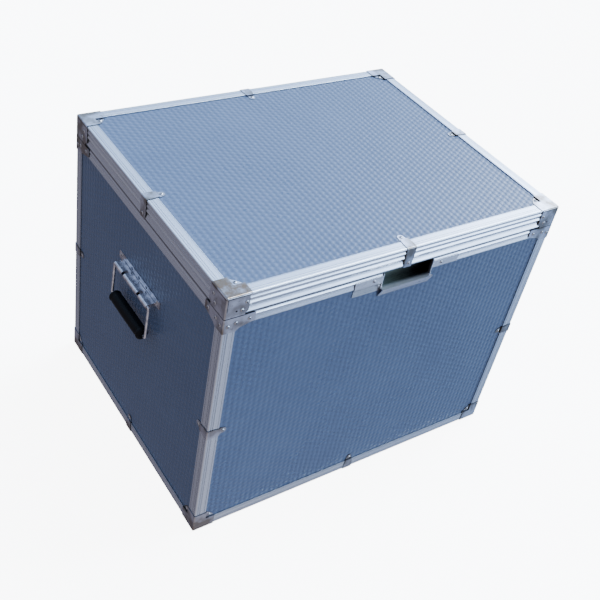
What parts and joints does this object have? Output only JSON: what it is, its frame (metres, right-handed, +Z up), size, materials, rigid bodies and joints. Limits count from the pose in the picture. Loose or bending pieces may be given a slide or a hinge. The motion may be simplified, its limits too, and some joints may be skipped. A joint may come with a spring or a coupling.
{
  "type": "telescope carry case",
  "caption": "Foam-lined telescope carry case: embossed panels in riveted aluminium edge profiles, hinged lid, finger dish and side drop handles.",
  "frame": {"origin": "middle of the whole case's footprint, on the surface it stands on", "axes": "+Z up, -Y towards the front with the finger dish, +X to the right as seen from the front; the handles are on -X and +X"},
  "size_m": [0.6736, 0.5046, 0.5],
  "materials": {
    "panel_skin": "embossed satin laminate on plywood",
    "profile": "clear anodised satin extrusion",
    "nickel_fitting": "bright nickel-plated pressing",
    "dish_plate": "nickel-plated pressing, satin",
    "rivet": "blind rivet, satin",
    "hinge_steel": "nickel-plated steel",
    "handle_chrome": "bright chrome",
    "grip": "matt moulded grip",
    "foam": "charcoal open-cell foam"
  },
  "bodies": {
    "base": {"base_rivets": "rivet", "bottom_clips": "nickel_fitting", "bottom_panel": "panel_skin", "finger_dish": "dish_plate", "floor_foam": "foam", "front_bottom_rail": "profile", "front_left_bottom_cap": "nickel_fitting", "front_left_post": "profile", "front_left_rim_brace": "nickel_fitting", "front_panel": "panel_skin", "front_right_bottom_cap": "nickel_fitting", "front_right_post": "profile", "front_right_rim_brace": "nickel_fitting", "front_rim_rail_left": "profile", "front_rim_rail_right": "profile", "hinge_pins": "hinge_steel", "left_bottom_rail": "profile", "left_handle_bracket": "handle_chrome", "left_hinge_base_leaf": "hinge_steel", "left_panel": "panel_skin", "left_rim_rail": "profile", "post_clips": "nickel_fitting", "rear_bottom_rail": "profile", "rear_left_bottom_cap": "nickel_fitting", "rear_left_post": "profile", "rear_left_rim_brace": "nickel_fitting", "rear_panel": "panel_skin", "rear_right_bottom_cap": "nickel_fitting", "rear_right_post": "profile", "rear_right_rim_brace": "nickel_fitting", "rear_rim_rail": "profile", "right_bottom_rail": "profile", "right_handle_bracket": "handle_chrome", "right_hinge_base_leaf": "hinge_steel", "right_panel": "panel_skin", "right_rim_rail": "profile", "wall_foam": "foam"},
    "lid": {"front_left_lid_brace": "nickel_fitting", "front_lid_clip": "nickel_fitting", "front_lid_rail": "profile", "front_right_lid_brace": "nickel_fitting", "left_hinge_lid_leaf": "hinge_steel", "left_lid_clip": "nickel_fitting", "left_lid_rail": "profile", "lid_foam": "foam", "lid_rivets": "rivet", "rear_left_lid_brace": "nickel_fitting", "rear_lid_clip": "nickel_fitting", "rear_lid_rail": "profile", "rear_right_lid_brace": "nickel_fitting", "right_hinge_lid_leaf": "hinge_steel", "right_lid_clip": "nickel_fitting", "right_lid_rail": "profile", "top_panel": "panel_skin"},
    "left_handle": {"left_handle_bail": "handle_chrome", "left_handle_grip": "grip"},
    "right_handle": {"right_handle_bail": "handle_chrome", "right_handle_grip": "grip"}
  },
  "joints": [
    {"name": "lid_hinge", "type": "hinge", "parent": "base", "child": "lid", "pos_m": [0, 0.2488, 0.463], "axis": [-1, 0, 0], "range_deg": [0, 100]},
    {"name": "left_handle_pivot", "type": "hinge", "parent": "base", "child": "left_handle", "pos_m": [-0.3235, 0, 0.3375], "axis": [0, 1, 0], "range_deg": [0, 90]},
    {"name": "right_handle_pivot", "type": "hinge", "parent": "base", "child": "right_handle", "pos_m": [0.3235, 0, 0.3375], "axis": [0, -1, 0], "range_deg": [0, 90]}
  ]
}
